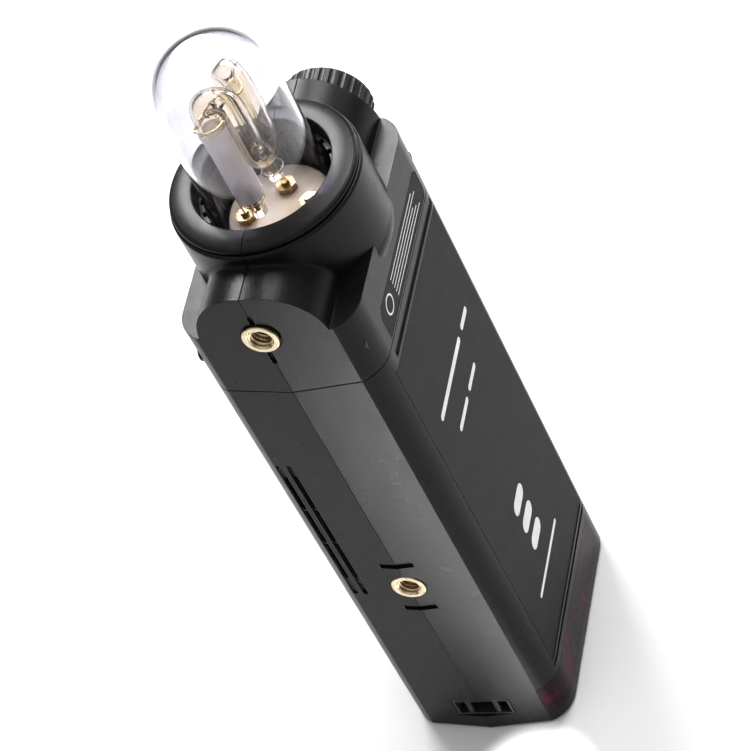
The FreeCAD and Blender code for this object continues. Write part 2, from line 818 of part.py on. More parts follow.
def head_plug():
    """The connector block under the head."""
    body = new_body("head_plug")
    pad(body, "Z", 161.9, 170.9, box(-15.0, -6.2, 15.0, 6.2))
    pad(body, "Z", 170.4, 171.6, box(-17.4, -8.0, 17.4, 8.0))
    pocket(body, "Z", 161.0, 162.6, *[disc(a, b, 1.3) for a, b in CONTACT_SPOTS])
    return body


def plug_pads():
    """Gilt pads that meet the sprung pins."""
    body = new_body("plug_pads")
    pad(body, "Z", 161.6, 162.6, *[disc(a, b, 1.2) for a, b in CONTACT_SPOTS])
    return body


def head_release():
    """The release button with the hook that holds the head down."""
    body = new_body("head_release")
    outer = half_width + 0.9
    pad(body, "X", 30.0, outer, soft_box(-5.0, 150.0, 5.0, 158.0, 1.2))
    grooves = [box(-3.4, 152.0 + step, 3.4, 152.7 + step) for step in (0.0, 1.6, 3.2)]
    pocket(body, "X", outer - 0.5, outer + 1, *grooves)
    pad(body, "Y", -2.8, 2.8, outline([
        (28.6, 151.0), (31.0, 151.0), (31.0, 170.9), (33.0, 170.9), (33.0, 171.4),
        (31.0, 173.2), (28.6, 173.2),
    ]))
    return body


# ---------------------------------------------------------------- head shells

def head_shell(name, side):
    """One half of the head casing: shoulders, arch, barrel and ring, split at the ridge."""
    body = new_body(name)
    foot = body_top + seam_gap
    pad(body, "Z", foot, arch_top + 0.5, section(0.0))
    # the arch: everything above it, outside and over the shoulders, comes off
    reach = half_depth + 5
    pocket(body, "X", -half_width - 2, half_width + 2, outline([
        (-arch_half, shoulder), (-reach, shoulder), (-reach, arch_top + 2), (reach, arch_top + 2),
        (reach, shoulder), (arch_half, shoulder, arch_radius, 1), (0.0, arch_top, arch_radius, 1),
    ]))
    # the barrel that carries the ring
    lathe(body, outline([
        (0.0, barrel_start), (half_depth - 1, barrel_start),
        (barrel_radius - 1.5, barrel_start, 8.0, 1),
        (barrel_radius, barrel_start + 6), (barrel_radius, groove_level - 0.9, 0.9, 1),
        (barrel_radius - 0.9, groove_level), (ring_radius - 0.9, groove_level),
        (ring_radius - 0.9, groove_level + 0.5), (ring_radius - 0.25, groove_level + 0.5, 0.9, 1),
        (ring_radius - 0.55, groove_level + 1.9), (ring_radius - 1.0, groove_level + 2.15, 14.0, 1),
        (ring_bore + 0.5, ring_top, 0.5, 1), (ring_bore, ring_top - 0.5), (ring_bore, ring_top - 2),
        (0.0, ring_top - 2),
    ]))
    # hollow: the lower box, the arch and the bulb well
    inner = arch_radius - wall
    pocket(body, "Z", foot + 2.0, shoulder - wall, section(wall))
    pocket(body, "X", -half_width + wall, half_width - wall, outline([
        (-arch_half + wall, shoulder - wall - 2), (arch_half - wall, shoulder - wall - 2),
        (arch_half - wall, shoulder, inner, 1), (0.0, arch_top - wall, inner, 1),
        (-arch_half + wall, shoulder),
    ]))
    pocket(body, "Z", foot + 2.0, ring_top + 1, disc(0.0, 0.0, ring_bore))
    # opening for the plug and the slot for the hook
    pocket(body, "Z", foot - 1, foot + 3, box(-15.4, -6.6, 15.4, 6.6), box(26.2, -3.4, 33.4, 3.4))
    # seat of the tripod thread on the -X side, with a slot above and below it
    pad(body, "X", -half_width + 1.8, -29.0, disc(0.0, head_insert_level, 6.6))
    pocket(body, "X", -half_width - 2, -28.0, disc(0.0, head_insert_level, insert_barrel + 0.05))
    pocket(body, "X", -half_width - 2, -half_width + 1.0,
           disc(0.0, head_insert_level, insert_flange + 0.5),
           box(-0.7, head_insert_level - 10.4, 0.7, head_insert_level + 8.6))
    # nut seat of the clamp screw on the +X side
    pad(body, "X", 27.0, half_width - 1.2, disc(0.0, knob_level, 6.4))
    pocket(body, "X", 26.0, half_width + 2, disc(0.0, knob_level, 4.05))
    return body


def head_front_shell():
    body = head_shell("head_front_shell", -1)
    face = -half_depth
    pocket(body, "Y", face - 1, face + 0.7,
           outline([(-22.5, 168.9), (25.6, 168.9), (27.2, 170.4), (27.2, 177.2), (25.6, 178.7),
                    (-20.6, 178.7), (-22.5, 176.8)]))
    for across, up in HEAD_SCREW_SPOTS:
        pad(body, "Y", face + 1.6, -split_gap, disc(across, up, 2.8))
    pocket(body, "Y", face + 5, 0.0, *[disc(a, u, 1.3) for a, u in HEAD_SCREW_SPOTS])
    keep_half(body, -1, body_top, ring_top + 1)
    return body


def head_back_shell():
    body = head_shell("head_back_shell", 1)
    face = half_depth
    for across, up in HEAD_SCREW_SPOTS:
        pad(body, "Y", split_gap, face - 1.6, disc(across, up, 3.2))
    pocket(body, "Y", 0.0, face + 1, *[disc(a, u, 1.5) for a, u in HEAD_SCREW_SPOTS])
    pocket(body, "Y", face - 3.0, face + 1, *[disc(a, u, 2.6) for a, u in HEAD_SCREW_SPOTS])
    keep_half(body, 1, body_top, ring_top + 1)
    return body


def label_plate():
    """The thin plate let into the front of the head."""
    body = new_body("label_plate")
    face = -half_depth
    pad(body, "Y", face + 0.05, face + 0.65,
        outline([(-22.3, 169.1), (25.5, 169.1), (27.0, 170.5), (27.0, 177.1), (25.5, 178.5),
                 (-20.5, 178.5), (-22.3, 176.7)]))
    return body


# ---------------------------------------------------------------- bulb well and clamp

def pin_spots():
    """Five pins on a circle, with a wider gap that keys the bulb."""
    angles = [math.radians(90 + 60 * step) for step in range(1, 6)]
    return [(pin_circle * math.cos(a), pin_circle * math.sin(a)) for a in angles]


def bulb_socket():
    """The black cup that the bulb's base plugs into."""
    body = new_body("bulb_socket")
    floor = base_low - 3.2
    pad(body, "Z", floor - 4.6, base_step - 0.4, disc(0.0, 0.0, socket_radius))
    pocket(body, "Z", floor, base_step + 1, disc(0.0, 0.0, base_radius + 0.35))
    pocket(body, "Z", floor - 6, floor + 1, *[disc(a, b, 2.3) for a, b in pin_spots()])
    pocket(body, "X", base_radius - 3, socket_radius + 2, disc(0.0, knob_level, 3.1))
    return body


def socket_contacts():
    """Brass sleeves that take the bulb's pins."""
    body = new_body("socket_contacts")
    low, high = base_low - 7.6, base_low - 3.3
    for across, along in pin_spots():
        pad(body, "Z", low, high, disc(across, along, 2.25), disc(across, along, pin_radius + 0.3))
    return body


def glass_baffle():
    """The ribbed black sleeve round the foot of the glass."""
    body = new_body("glass_baffle")
    low, high = base_step - 0.2, ring_top - 4.5
    pad(body, "Z", low, high, disc(0.0, 0.0, ring_bore - 0.15), disc(0.0, 0.0, dome_radius + 1.0))
    slot = pocket(body, "Z", low + 2.0, high + 1,
                  box(dome_radius + 0.5, -0.9, ring_bore - 0.7, 0.9))
    ring_of(body, slot, 24)
    return body


def trigger_coil():
    """The trigger transformer beside the bulb well."""
    body = new_body("trigger_coil")
    pad(body, "Z", 170.6, 172.2, disc(-21.5, 14.8, 4.0))
    pad(body, "Z", 172.1, 183.1, disc(-21.5, 14.8, 3.2))
    pad(body, "Z", 183.0, 184.6, disc(-21.5, 14.8, 4.0))
    return body


def knob_nut():
    """The brass nut of the clamp screw, held between the head shells."""
    body = new_body("knob_nut")
    pad(body, "Z", 0.0, 9.0, disc(0.0, 0.0, 4.0), disc(0.0, 0.0, screw_radius + 0.08))
    place(body, 27.1, 0.0, knob_level, TO_PLUS_X)
    return body


def clamp_pad():
    """The swivel pad at the tip of the clamp screw; it presses on the bulb's base."""
    body = new_body("clamp_pad")
    pad(body, "Z", 0.0, 2.6, disc(0.0, 0.0, 2.6))
    place(body, base_radius + 0.4, 0.0, knob_level, TO_PLUS_X)
    return body


def clamp_screw():
    body = new_body("clamp_screw")
    start = base_radius + 3.2
    pad(body, "Z", 0.0, 44.0 - start, disc(0.0, 0.0, screw_radius))
    place(body, start, 0.0, knob_level, TO_PLUS_X)
    return body


def lock_knob():
    """The ribbed clamp knob with a dished outer face."""
    body = new_body("lock_knob")
    length = knob_far - knob_near
    lathe(body, outline([
        (screw_radius + 0.02, 0.0), (knob_radius - 2.6, 0.0), (knob_radius - 2.2, 0.9),
        (knob_radius - 0.6, 0.9), (knob_radius, 1.5), (knob_radius, length - 0.8),
        (knob_radius - 0.8, length), (knob_radius - 2.6, length), (knob_radius - 3.4, length - 1.2),
        (0.0, length - 1.2), (0.0, length - 3.8), (screw_radius + 0.02, length - 3.8),
    ]))
    notch = pocket(body, "Z", 0.5, length + 0.5, disc(knob_radius + 0.45, 0.0, 0.95))
    ring_of(body, notch, 28)
    place(body, knob_near, 0.0, knob_level, TO_PLUS_X)
    return body


# ---------------------------------------------------------------- plug-in bulb

STANDOFFS = [(6.0, -1.1), (-3.3, 8.4), (-0.3, -8.9)]


def bulb_base():
    """The ceramic base: a barrel with a raised disc inside the glass."""
    body = new_body("bulb_base")
    lathe(body, outline([
        (0.0, base_low), (base_radius - 0.8, base_low), (base_radius, base_low + 0.8),
        (base_radius, base_step), (disc_radius, base_step), (disc_radius, disc_level - 0.5),
        (disc_radius - 0.5, disc_level), (0.0, disc_level),
    ]))
    pocket(body, "Z", base_low - 1, base_low + 4, *[disc(a, b, pin_radius) for a, b in pin_spots()])
    return body


def bulb_pins():
    body = new_body("bulb_pins")
    pad(body, "Z", base_low - 7.0, base_low + 4, *[disc(a, b, pin_radius) for a, b in pin_spots()])
    return body


def base_standoffs():
    """Hexagonal brass terminals on the ceramic disc."""
    body = new_body("base_standoffs")
    pad(body, "Z", disc_level, disc_level + 1.8, *[hexagon(a, b, 2.5) for a, b in STANDOFFS])
    pad(body, "Z", disc_level + 1.7, disc_level + 3.0, *[disc(a, b, 1.2) for a, b in STANDOFFS])
    return body


def glass_dome():
    """The clear cover: a straight tube, a round shoulder and a flatter cap, all tangent."""
    body = new_body("glass_dome")
    foot = base_step + 0.1
    flat = 0.8
    crown = dome_radius - dome_shoulder
    lean = crown - flat
    spring_line = dome_top - dome_shoulder - lean * (2 - math.sqrt(3))

    def upper(skin):
        """Shoulder radius and end, then cap radius and crown height, at this depth of glass."""
        shoulder_arc = dome_shoulder - skin
        turn_in = crown + shoulder_arc * 0.5
        turn_up = spring_line + shoulder_arc * (math.sqrt(3) / 2)
        return shoulder_arc, turn_in, turn_up, shoulder_arc + lean * 2, dome_top - skin

    outer = upper(0.0)
    inner = upper(dome_wall)
    lathe(body, outline([
        (dome_radius - dome_wall, foot), (dome_radius, foot),
        (dome_radius, spring_line, outer[0], 1), (outer[1], outer[2], outer[3], 1),
        (flat, outer[4]), (0.0, outer[4]), (0.0, inner[4]),
        (flat, inner[4], inner[3], -1), (inner[1], inner[2], inner[0], -1),
        (dome_radius - dome_wall, spring_line),
    ]))
    return body


# the four legs of the flash tube, in the order the discharge runs through them
LEGS = [(-5.6, 2.5), (-5.0, -4.7), (1.9, -5.5), (6.6, 0.5)]


def tube_core(name, radius, foot):
    """The flash tube's path as a solid rod: four legs joined by three half-ring bends."""
    pieces = []
    levels = [(foot, tube_bend), (tube_dip, tube_bend), (tube_dip, tube_bend), (foot, tube_bend)]
    for (across, along), (low, high) in zip(LEGS, levels):
        leg = doc.addObject("Part::Cylinder", f"{name}_leg")
        leg.Radius = value_of(radius)
        leg.Height = value_of(high - low)
        bind(leg, "Radius", radius)
        bind(leg, "Height", high - low)
        leg.Placement.Base = FreeCAD.Vector(across, along, value_of(low))
        bind(leg, ".Placement.Base.z", low)
        pieces.append(leg)
    for index, level in enumerate((tube_bend, tube_dip, tube_bend)):
        start = FreeCAD.Vector(*LEGS[index], 0)
        span = FreeCAD.Vector(*LEGS[index + 1], 0) - start
        bend = doc.addObject("Part::Torus", f"{name}_bend")
        bend.Radius1 = span.Length / 2
        bend.Radius2 = value_of(radius)
        bend.Angle3 = 180
        bind(bend, "Radius2", radius)
        heading = math.degrees(math.atan2(span.y, span.x))
        tilt = 90 if level is tube_bend else -90
        rotation = (FreeCAD.Rotation(FreeCAD.Vector(0, 0, 1), heading)
                    * FreeCAD.Rotation(FreeCAD.Vector(1, 0, 0), tilt))
        centre = start + span * 0.5 + FreeCAD.Vector(0, 0, value_of(level))
        bend.Placement = FreeCAD.Placement(centre, rotation)
        bind(bend, ".Placement.Base.z", level)
        pieces.append(bend)
    rod = doc.addObject("Part::MultiFuse", name)
    rod.Shapes = pieces
    return rod


def flash_tube():
    """The clear quartz tube, hollow, with sealed feet."""
    outer = tube_core("tube_outside", tube_radius, tube_foot)
    inner = tube_core("tube_inside", tube_bore, tube_foot + 1.4)
    tube = doc.addObject("Part::Cut", "flash_tube")
    tube.Label = "flash_tube"
    tube.Base = outer
    tube.Tool = inner
    return tube


def tube_electrodes():
    """The metal electrodes inside the two feet of the flash tube."""
    body = new_body("tube_electrodes")
    feet = (LEGS[0], LEGS[3])
    pad(body, "Z", tube_foot + 1.6, tube_foot + 9, *[disc(a, b, 0.6) for a, b in feet])
    pad(body, "Z", tube_foot + 6, tube_foot + 11, *[disc(a, b, 1.5) for a, b in feet])
    return body


def wire_along(name, radius, path):
    """A round wire with rounded knees along a list of points."""
    points = [FreeCAD.Vector(*point) for point in path]
    curve = Part.BSplineCurve()
    curve.interpolate(points)
    spine = Part.Wire(curve.toShape())
    start, heading = curve.value(curve.FirstParameter), curve.tangent(curve.FirstParameter)[0]
    ring = Part.Wire(Part.makeCircle(value_of(radius), start, heading))
    wire = doc.addObject("Part::Feature", name)
    wire.Label = name
    wire.Shape = spine.makePipeShell([ring], True, True)
    wire.Placement = FreeCAD.Placement()
    return wire


def trigger_wire():
    """The fine trigger wire: from a terminal up the first leg and over to the last bend."""
    reach = value_of(tube_radius) + 0.7
    foot = value_of(disc_level) + 3.4
    bend = value_of(tube_bend)
    first, last = LEGS[0], LEGS[3]
    return wire_along("trigger_wire", 0.2, [
        (STANDOFFS[1][0], STANDOFFS[1][1], foot),
        (first[0] + 0.6, first[1] + reach + 0.2, foot + 8),
        (first[0], first[1] + reach, foot + 24),
        (first[0] + 0.2, first[1] + reach, bend - 3.5),
        (first[0] + 3.0, first[1] + reach - 1.4, bend - 0.5),
        (0.5, 4.6, bend + 0.5),
        (last[0] - 2.4, last[1] + reach - 0.4, bend - 0.5),
        (last[0], last[1] + reach, bend - 4.5),
        (last[0] + 0.3, last[1] + reach, bend - 15),
    ])


# both springs are drawn at their shortest length, clear of the pieces that press on them
LATCH_SPRING_SEAT = FreeCAD.Placement(FreeCAD.Vector(0, 20.9, 112.5), FreeCAD.Rotation())
RELEASE_SPRING_SEAT = FreeCAD.Placement(
    FreeCAD.Vector(19.0, 0, 154.0), FreeCAD.Rotation(FreeCAD.Vector(0, 1, 0), 90))

PARTS_BUILT = [
    body_front_shell(), body_back_shell(), front_panel(), sensor_window(), strap_anchor(),
    thread_insert("body_insert", -half_width, body_insert_level),
    screw_set("body_screws", SCREW_SPOTS, 23.9, 20.0),
    control_panel(), lcd_lens(), lcd_module(), select_dial(), set_button(),
    key("mode_button", key_spots()[0]), key("group_button", key_spots()[1]),
    key("menu_button", key_spots()[2]), key("sync_button", key_spots()[3]),
    test_button(), control_board(), tact_switches(), rotary_encoder(),
    power_switch(), switch_housing(), usb_port(), sync_jack(), port_cover(),
    battery_case(), battery_cells(), battery_terminals(), bay_contacts(), battery_latch(),
    main_board(), flash_capacitors(), charge_transformer(),
    head_socket(), body_contacts(), head_plug(), plug_pads(), head_release(),
    head_front_shell(), head_back_shell(), label_plate(),
    thread_insert("head_insert", -half_width - 0.7, head_insert_level),
    screw_set("head_screws", HEAD_SCREW_SPOTS, 23.9, 20.0),
    bulb_socket(), socket_contacts(), glass_baffle(), trigger_coil(),
    knob_nut(), clamp_pad(), clamp_screw(), lock_knob(),
    bulb_base(), bulb_pins(), base_standoffs(), glass_dome(),
    flash_tube(), tube_electrodes(), trigger_wire(),
    spring("latch_spring", 1.3, 0.25, 0.8, 3.2, LATCH_SPRING_SEAT),
    spring("release_spring", 2.4, 0.35, 1.2, 7.2, RELEASE_SPRING_SEAT),
]

doc.recompute()

for item in doc.Objects:
    if "Invalid" in item.State or "Error" in item.State:
        raise RuntimeError(f"{item.Name} of {item.Label} did not build")

for part in PARTS_BUILT:
    if part.Shape.isNull() or not part.Shape.isValid():
        raise RuntimeError(f"{part.Label} has no valid shape")
    part.Shape.exportStep(f"parts/{part.Label}.step")
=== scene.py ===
import json
import math

import bmesh
import bpy
from mathutils import Matrix, Vector


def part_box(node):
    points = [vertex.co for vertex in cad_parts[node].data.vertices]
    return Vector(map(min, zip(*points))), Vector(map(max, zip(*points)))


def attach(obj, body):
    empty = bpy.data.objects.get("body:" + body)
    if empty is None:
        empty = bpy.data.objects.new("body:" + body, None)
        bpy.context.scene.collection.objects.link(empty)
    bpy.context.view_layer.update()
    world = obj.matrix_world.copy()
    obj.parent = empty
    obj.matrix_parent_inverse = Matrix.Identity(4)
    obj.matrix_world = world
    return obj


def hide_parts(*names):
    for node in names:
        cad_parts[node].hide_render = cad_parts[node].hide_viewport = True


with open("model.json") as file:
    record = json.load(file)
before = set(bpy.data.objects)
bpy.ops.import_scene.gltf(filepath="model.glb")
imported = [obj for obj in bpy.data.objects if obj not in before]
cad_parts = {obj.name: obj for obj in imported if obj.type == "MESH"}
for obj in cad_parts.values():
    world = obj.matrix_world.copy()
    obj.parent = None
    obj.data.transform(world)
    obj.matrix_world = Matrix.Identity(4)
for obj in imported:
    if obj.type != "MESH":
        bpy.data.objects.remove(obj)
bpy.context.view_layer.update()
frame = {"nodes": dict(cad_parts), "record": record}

# Looks of the pocket monolight strobe.  Metres, +Z up the body to the bulb, -Y out of the front face.

MM = 0.001


# ---------------------------------------------------------------- shader helpers

class Nodes:
    """A material's node tree with short ways to add and join nodes."""

    def __init__(self, name):
        self.material = bpy.data.materials.new(name)
        self.material.use_nodes = True
        self.tree = self.material.node_tree
        self.shader = self.tree.nodes["Principled BSDF"]
        self.coordinates = self.add("ShaderNodeTexCoord").outputs["Object"]

    def add(self, kind, **inputs):
        node = self.tree.nodes.new(kind)
        for key, value in inputs.items():
            self.feed(node.inputs[key.replace("_", " ")], value)
        return node

    def feed(self, socket, value):
        if isinstance(value, bpy.types.NodeSocket):
            self.tree.links.new(value, socket)
        else:
            socket.default_value = value

    def noise(self, scale, detail=4.0, roughness=0.55, coordinates=None):
        node = self.add("ShaderNodeTexNoise", Scale=scale, Detail=detail, Roughness=roughness)
        self.feed(node.inputs["Vector"], coordinates or self.coordinates)
        return node.outputs["Fac"]

    def stretched(self, x, y, z):
        node = self.add("ShaderNodeMapping", Scale=(x, y, z))
        self.feed(node.inputs["Vector"], self.coordinates)
        return node.outputs["Vector"]

    def remap(self, value, low, high):
        node = self.add("ShaderNodeMapRange")
        self.feed(node.inputs["Value"], value)
        self.feed(node.inputs["To Min"], low)
        self.feed(node.inputs["To Max"], high)
        return node.outputs["Result"]

    def bands(self, value, *levels):
        """Remap 0..1 so that the middle of a noise spreads over the full range."""
        node = self.add("ShaderNodeMapRange")
        self.feed(node.inputs["Value"], value)
        for socket, level in zip(("From Min", "From Max", "To Min", "To Max"), levels):
            self.feed(node.inputs[socket], level)
        return node.outputs["Result"]

    def maths(self, operation, first, second=0.0):
        node = self.add("ShaderNodeMath")
        node.operation = operation
        self.feed(node.inputs[0], first)
        self.feed(node.inputs[1], second)
        return node.outputs["Value"]

    def blend(self, factor, first, second):
        node = self.add("ShaderNodeMix")
        node.data_type = "RGBA"
        self.feed(node.inputs[0], factor)
        self.feed(node.inputs[6], first)
        self.feed(node.inputs[7], second)
        return node.outputs[2]

    def rounded(self, radius):
        """A normal that rounds the edges by this radius."""
        node = self.add("ShaderNodeBevel", Radius=radius)
        node.samples = 6
        return node.outputs["Normal"]

    def bump(self, height, strength, distance, normal=None):
        node = self.add("ShaderNodeBump", Strength=strength, Distance=distance)
        self.feed(node.inputs["Height"], height)
        if normal is not None:
            self.feed(node.inputs["Normal"], normal)
        return node.outputs["Normal"]


def rgb(red, green, blue):
    return (red, green, blue, 1.0)


def shade(colour, factor):
    return tuple(min(1.0, part * factor) for part in colour[:3]) + (1.0,)


def surface(name, colour, rough, metal=0.0, grain=1500.0, relief=0.2, depth=0.05 * MM,
            edge=0.25 * MM, wear=0.12, spread=0.06, specular=0.5):
    """A solid finish: fine relief, uneven roughness, slight colour drift and rounded edges."""
    nodes = Nodes(name)
    fine = nodes.noise(grain, 3.0, 0.6)
    broad = nodes.noise(38.0, 4.0, 0.6)
    drift = nodes.bands(broad, 0.3, 0.7, 0.0, 1.0)
    nodes.feed(nodes.shader.inputs["Base Color"],
               nodes.blend(drift, shade(colour, 1 - wear), shade(colour, 1 + wear)))
    nodes.feed(nodes.shader.inputs["Roughness"],
               nodes.bands(nodes.noise(190.0, 2.0), 0.3, 0.7, rough - spread, rough + spread))
    nodes.feed(nodes.shader.inputs["Metallic"], metal)
    nodes.feed(nodes.shader.inputs["Specular IOR Level"], specular)
    nodes.feed(nodes.shader.inputs["Normal"],
               nodes.bump(fine, relief, depth, nodes.rounded(edge)))
    return nodes


def clear(name, colour, ior=1.46, rough=0.0, ripple=0.02, drawn=(18.0, 18.0, 3.0)):
    """Clear glass with faint drawing ripples."""
    nodes = Nodes(name)
    nodes.feed(nodes.shader.inputs["Base Color"], colour)
    nodes.feed(nodes.shader.inputs["Transmission Weight"], 1.0)
    nodes.feed(nodes.shader.inputs["IOR"], ior)
    wave = nodes.noise(8.0, 2.0, 0.4, nodes.stretched(*drawn))
    nodes.feed(nodes.shader.inputs["Roughness"], nodes.remap(wave, rough, rough + 0.012))
    nodes.feed(nodes.shader.inputs["Normal"], nodes.bump(wave, ripple, 0.3 * MM))
    shadow = nodes.add("ShaderNodeLightPath").outputs["Is Shadow Ray"]
    through = nodes.add("ShaderNodeBsdfTransparent", Color=shade(colour, 0.96))
    either = nodes.add("ShaderNodeMixShader")
    nodes.feed(either.inputs[0], shadow)
    nodes.feed(either.inputs[1], nodes.shader.outputs["BSDF"])
    nodes.feed(either.inputs[2], through.outputs["BSDF"])
    nodes.feed(nodes.tree.nodes["Material Output"].inputs["Surface"], either.outputs[0])
    return nodes


# ---------------------------------------------------------------- finishes

def textured_case():
    """Fine spark-eroded black plastic, rounded wider where the barrel meets the arch."""
    nodes = surface("textured_case", rgb(0.011, 0.011, 0.0115), 0.3, grain=2500.0, relief=0.6,
                    depth=0.08 * MM, wear=0.12, spread=0.03, specular=0.3)
    apart = nodes.add("ShaderNodeSeparateXYZ")
    nodes.feed(apart.inputs[0], nodes.coordinates)
    across, along, up = apart.outputs
    span = nodes.maths("SQRT", nodes.maths("ADD", nodes.maths("MULTIPLY", across, across),
                                           nodes.maths("MULTIPLY", along, along)))
    off = nodes.maths("ABSOLUTE", nodes.maths("SUBTRACT", span, 26.5 * MM))
    close = nodes.bands(off, 1.5 * MM, 3.5 * MM, 1.0, 0.0)
    level = nodes.maths("MULTIPLY", nodes.bands(up, 191.0 * MM, 193.0 * MM, 0.0, 1.0),
                        nodes.bands(up, 206.6 * MM, 208.0 * MM, 1.0, 0.0))
    wide = nodes.bands(nodes.maths("MULTIPLY", close, level), 0.0, 1.0, 0.25 * MM, 1.5 * MM)
    for node in nodes.tree.nodes:
        if node.bl_idname == "ShaderNodeBevel":
            nodes.feed(node.inputs["Radius"], wide)
    return nodes


PLAIN_FINISHES = {
    "battery_shell": dict(colour=rgb(0.010, 0.010, 0.0105), rough=0.33, grain=2500.0, relief=0.55,
                          depth=0.07 * MM, specular=0.28),
    "smooth_panel": dict(colour=rgb(0.014, 0.014, 0.0145), rough=0.5, grain=4200.0, relief=0.12,
                         depth=0.02 * MM, wear=0.05, spread=0.015, specular=0.2),
    "strap_black": dict(colour=rgb(0.03, 0.03, 0.031), rough=0.38, grain=1500.0),
    "panel_black": dict(colour=rgb(0.014, 0.014, 0.015), rough=0.3, grain=2600.0, relief=0.12),
    "dial_black": dict(colour=rgb(0.02, 0.02, 0.021), rough=0.4, grain=1500.0, relief=0.3),
    "key_grey": dict(colour=rgb(0.035, 0.035, 0.037), rough=0.42, grain=1700.0, relief=0.3),
    "circuit_board": dict(colour=rgb(0.012, 0.10, 0.045), rough=0.35, grain=700.0),
    "switch_metal": dict(colour=rgb(0.62, 0.62, 0.62), rough=0.3, metal=1.0, grain=2500.0),
    "inner_black": dict(colour=rgb(0.012, 0.012, 0.013), rough=0.45, grain=1400.0, relief=0.25),
    "port_steel": dict(colour=rgb(0.6, 0.6, 0.61), rough=0.28, metal=1.0, grain=2500.0),
    "cover_rubber": dict(colour=rgb(0.02, 0.02, 0.02), rough=0.62, grain=1300.0, relief=0.35),
    "cell_wrap": dict(colour=rgb(0.05, 0.2, 0.42), rough=0.3, grain=600.0, relief=0.1),
    "gilt_contact": dict(colour=rgb(0.9, 0.68, 0.3), rough=0.22, metal=1.0, grain=2500.0),
    "capacitor_sleeve": dict(colour=rgb(0.03, 0.03, 0.06), rough=0.28, grain=500.0, relief=0.1),
    "ferrite": dict(colour=rgb(0.06, 0.06, 0.065), rough=0.6, grain=900.0, relief=0.4),
    "insert_brass": dict(colour=rgb(0.74, 0.63, 0.46), rough=0.28, metal=1.0, grain=900.0,
                         relief=0.25, depth=0.03 * MM, edge=0.15 * MM),
    "screw_black": dict(colour=rgb(0.08, 0.08, 0.082), rough=0.36, metal=1.0, grain=1800.0),
    "screw_steel": dict(colour=rgb(0.58, 0.58, 0.59), rough=0.3, metal=1.0, grain=1800.0),
    "terminal_brass": dict(colour=rgb(0.52, 0.40, 0.22), rough=0.3, metal=1.0, grain=1200.0,
                           wear=0.3, edge=0.15 * MM),
    "coil_wrap": dict(colour=rgb(0.7, 0.5, 0.12), rough=0.4, grain=900.0),
    "knob_black": dict(colour=rgb(0.018, 0.018, 0.019), rough=0.36, grain=1500.0, relief=0.35,
                       specular=0.4),
    "cream_ceramic": dict(colour=rgb(0.62, 0.55, 0.42), rough=0.5, grain=1100.0, relief=0.12,
                          wear=0.05),
    "pin_metal": dict(colour=rgb(0.72, 0.68, 0.58), rough=0.28, metal=1.0, grain=2000.0),
    "electrode_metal": dict(colour=rgb(0.2, 0.19, 0.18), rough=0.42, metal=1.0, grain=1600.0,
                            relief=0.4),
    "trigger_nickel": dict(colour=rgb(0.86, 0.76, 0.56), rough=0.25, metal=1.0, grain=2000.0),
    "spring_steel": dict(colour=rgb(0.55, 0.55, 0.56), rough=0.28, metal=1.0, grain=2000.0),
}


def red_window():
    """Dark red window: nearly black, with painted glints: wine red patches, placed by noise, that
    stand in for light grazing through it.
    """
    nodes = surface("red_window", rgb(0.026, 0.008, 0.016), 0.28, grain=900.0, relief=0.04,
                    wear=0.2, spread=0.02, specular=0.17)
    # Painted glints: noise patches of wine red in the base colour stand in for light grazing through
    # the window.
    painted_glints = nodes.bands(nodes.noise(140.0, 5.0), 0.56, 0.72, 0.0, 1.0)
    nodes.feed(nodes.shader.inputs["Base Color"],
               nodes.blend(painted_glints, rgb(0.022, 0.007, 0.014), rgb(0.12, 0.006, 0.02)))
    return nodes


def test_key():
    nodes = surface("test_key", rgb(0.45, 0.02, 0.015), 0.25, grain=1200.0, relief=0.1)
    nodes.feed(nodes.shader.inputs["Subsurface Weight"], 0.3)
    nodes.feed(nodes.shader.inputs["Subsurface Scale"], 0.6 * MM)
    return nodes


def screen_glass():
    nodes = surface("screen_glass", rgb(0.21, 0.25, 0.22), 0.3, grain=2600.0, relief=0.05)
    return nodes


FINISHES = {name: surface(name, **values) for name, values in PLAIN_FINISHES.items()}
FINISHES["textured_case"] = textured_case()
FINISHES["red_window"] = red_window()
FINISHES["test_key"] = test_key()
FINISHES["screen_glass"] = screen_glass()
FINISHES["screen_lens"] = clear("screen_lens", rgb(0.9, 0.93, 0.94), 1.49)
FINISHES["dome_glass"] = clear("dome_glass", rgb(0.84, 0.83, 0.88), 1.5, 0.0, 0.04)
FINISHES["quartz"] = clear("quartz", rgb(0.985, 0.94, 0.84), 1.46, 0.01, 0.12)

for entry in frame["record"]["subparts"]:
    part = frame["nodes"][entry["node"]]
    part.data.materials.clear()
    part.data.materials.append(FINISHES[entry["material_slot"]].material)


# ---------------------------------------------------------------- mesh helpers

ON_AXIS = 1e-7


def finish_piece(name, mesh, slot, body, smooth=35.0):
    """Make the object, give it its finish and let it ride on its body."""
    piece = bpy.data.objects.new(name, mesh)
    bpy.context.collection.objects.link(piece)
    mesh.materials.append(FINISHES[slot].material)
    if smooth:
        for face in mesh.polygons:
            face.use_smooth = True
        mesh.set_sharp_from_angle(angle=math.radians(smooth))
    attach(piece, body)
    return piece


